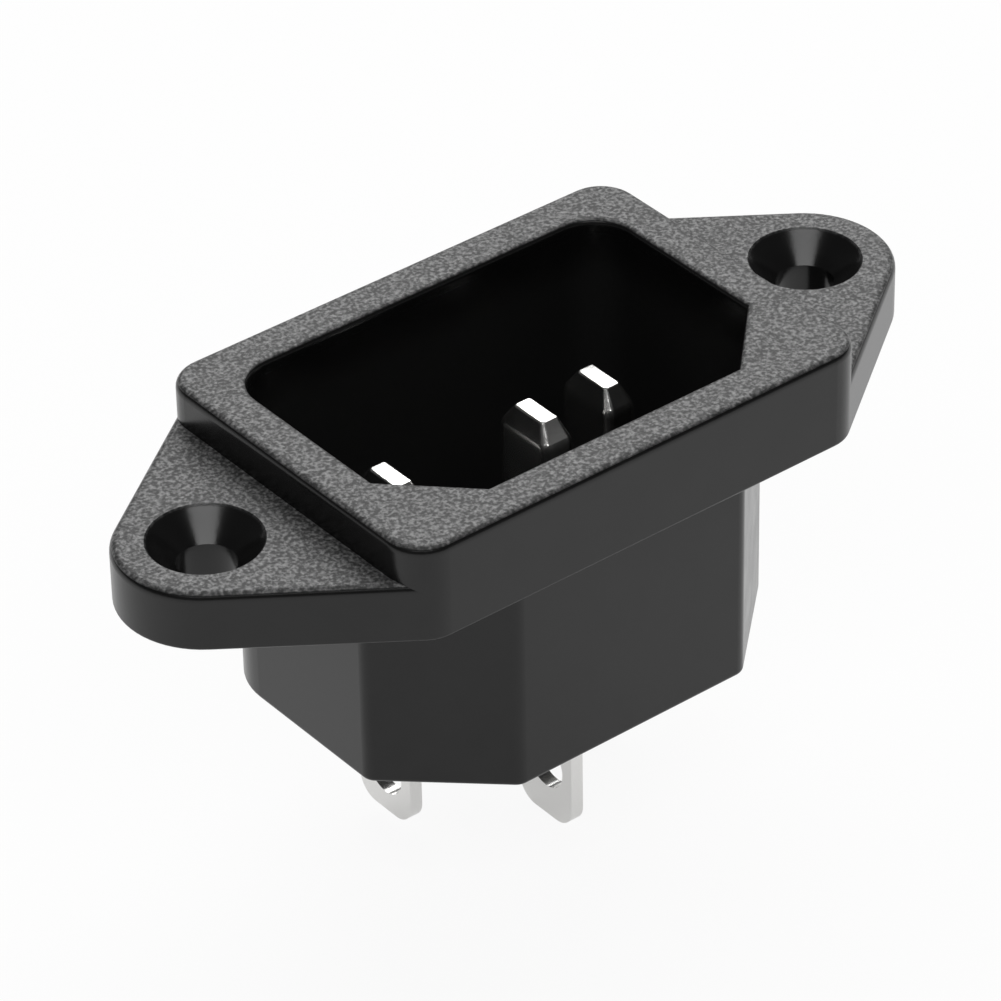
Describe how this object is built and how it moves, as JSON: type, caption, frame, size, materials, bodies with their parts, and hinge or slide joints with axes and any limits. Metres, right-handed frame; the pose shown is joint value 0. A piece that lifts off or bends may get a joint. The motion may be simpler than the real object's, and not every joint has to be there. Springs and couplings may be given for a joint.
{
  "type": "panel power socket",
  "caption": "Panel-mount mains power inlet: moulded flange with two countersunk screw ears, keyed recess, flat metal blades and rear solder tabs.",
  "frame": {"origin": "midway between the two screw holes, on the flange face that meets the panel", "axes": "+X through the two screw holes, +Z out of the panel towards the plug, +Y away from the earth blade"},
  "size_m": [0.0496, 0.0214, 0.0282],
  "materials": {
    "moulded_black": "black moulded plastic, fine spark-eroded grain on the front faces, smooth sides",
    "plated_metal": "bright nickel plating over brass"
  },
  "bodies": {
    "root": {"housing": "moulded_black", "left_terminal": "plated_metal", "right_terminal": "plated_metal", "earth_terminal": "plated_metal"}
  },
  "joints": []
}
